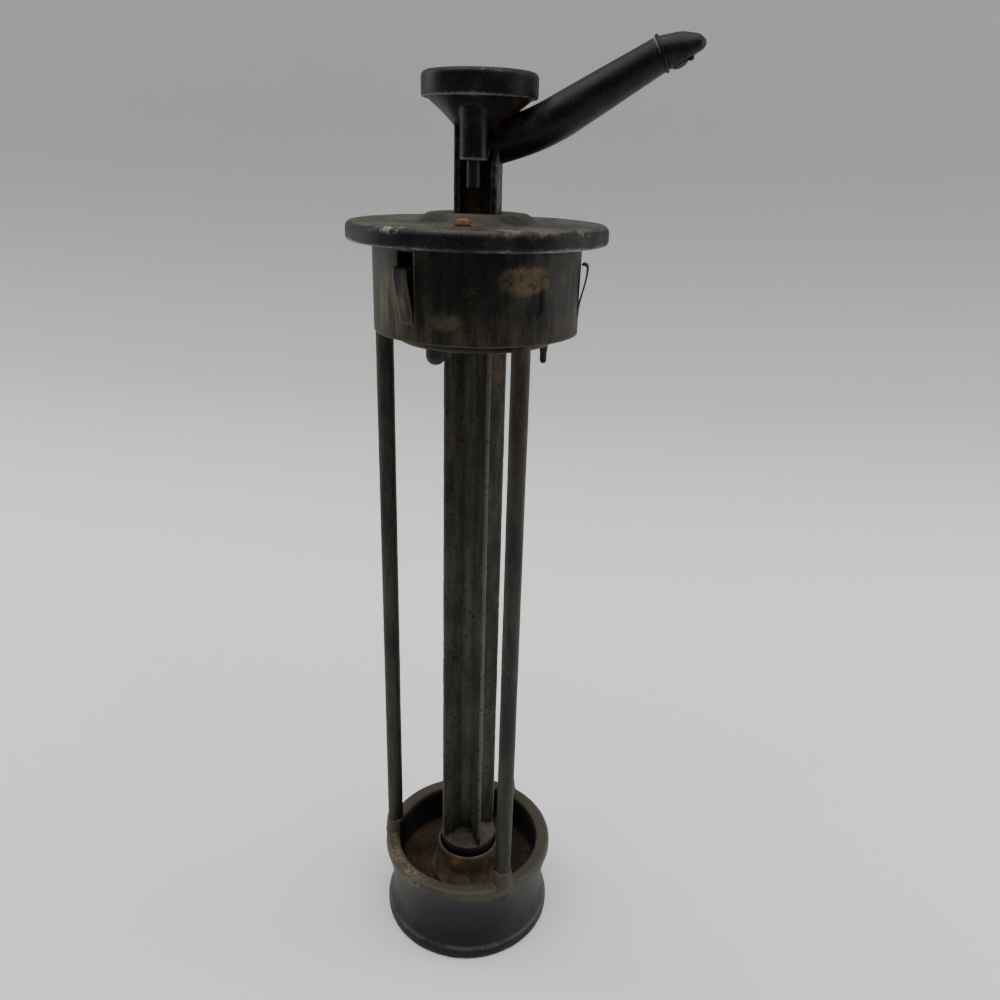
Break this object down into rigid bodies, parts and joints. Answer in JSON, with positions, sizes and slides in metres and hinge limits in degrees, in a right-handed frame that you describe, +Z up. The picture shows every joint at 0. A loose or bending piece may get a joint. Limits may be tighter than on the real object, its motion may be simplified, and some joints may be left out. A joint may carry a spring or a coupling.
{
  "type": "soap pump dispenser insert",
  "caption": "Push-button plunger pump for a soap tank: a spouted head slides through a flange and collar, down a rod cage to a foot cup and cylinder.",
  "frame": {"origin": "centre of the foot's rest face, on the pump axis", "axes": "+Z up along the pump axis, +X towards the spout"},
  "size_m": [0.1134, 0.088, 0.3526],
  "materials": {
    "head_paint": "worn satin bluish-black paint with rubbed tan edges",
    "cover_paint": "worn satin black paint with tan grime",
    "cup_paint": "charcoal paint with a rubbed tan rim",
    "collar_sheet": "thin olive-grey sheet with rust along the lower edge",
    "rod_steel": "dark speckled bar with white flecks and rust at the ends",
    "column_metal": "pitted grey-green cast metal with rust streaks",
    "cylinder_metal": "matte rusty brown casting",
    "piston_metal": "grey-brown casting",
    "plate_plastic": "black moulded plate",
    "ring_steel": "dark dull steel",
    "screw_steel": "dull steel",
    "screw_rusty": "rusty orange screw heads",
    "screw_black": "black screw",
    "bush_brass": "dull brass",
    "spring_steel": "spring wire",
    "outlet_metal": "worn light metal lip",
    "washer_leather": "oiled pump leather",
    "ball_steel": "polished ball"
  },
  "bodies": {
    "cage": {"foot_cup": "cup_paint", "pump_cylinder": "cylinder_metal", "rod_left": "rod_steel", "rod_front": "rod_steel", "rod_rear": "rod_steel", "collar": "collar_sheet", "collar_ring": "ring_steel", "guide_plate": "plate_plastic", "plate_lugs": "plate_plastic", "plate_screws": "screw_steel", "flange_base": "ring_steel", "flange_cover": "cover_paint", "cover_spacers": "screw_steel", "cover_screws": "screw_rusty", "guide_bush": "bush_brass", "spring_washer": "screw_steel", "return_spring": "spring_steel"},
    "plunger": {"button_cap": "head_paint", "pump_head": "head_paint", "stop_screw": "screw_black", "spring_seat": "ring_steel", "seat_screws": "screw_steel", "spout_tube": "head_paint", "spout_ring": "head_paint", "spout_tip": "head_paint", "outlet_plate": "outlet_metal", "outlet_screw": "screw_black", "column": "column_metal", "piston_disc": "piston_metal", "piston_washer": "washer_leather", "piston_nut": "bush_brass", "ball_pin": "bush_brass"},
    "ball": {"check_ball": "ball_steel"}
  },
  "joints": [
    {"name": "plunger_slide", "type": "slide", "parent": "cage", "child": "plunger", "axis": [0, 0, -1], "range_m": [0, 0.007], "stiffness_N_per_m": 600, "springref_m": -0.02, "deforming": ["return_spring"]},
    {"name": "check_ball_lift", "type": "slide", "parent": "plunger", "child": "ball", "axis": [0, 0, 1], "range_m": [0, 0.002]}
  ]
}
